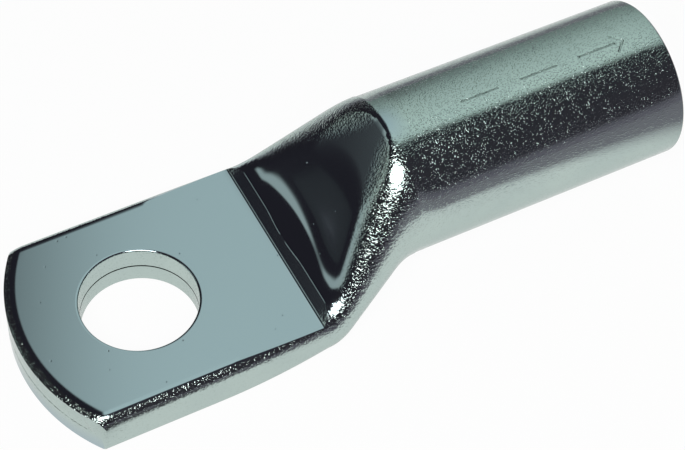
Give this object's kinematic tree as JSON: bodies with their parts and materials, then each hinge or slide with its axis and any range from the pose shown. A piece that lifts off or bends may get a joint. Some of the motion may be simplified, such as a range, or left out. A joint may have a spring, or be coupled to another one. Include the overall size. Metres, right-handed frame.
{
  "type": "cable lug",
  "caption": "Tubular compression cable lug: a round barrel for the conductor, pressed flat at one end into a palm with a stud hole.",
  "frame": {"origin": "centre of the stud hole in the palm's underside", "axes": "+X from the palm towards the barrel's open mouth, +Z out of the palm's top"},
  "size_m": [0.0796, 0.0266, 0.0205],
  "materials": {
    "tinned_copper": "bright tin plating over copper, smooth on the coined palm and faintly grainy on the drawn barrel"
  },
  "bodies": {
    "root": {"cable_lug": "tinned_copper"}
  },
  "joints": []
}
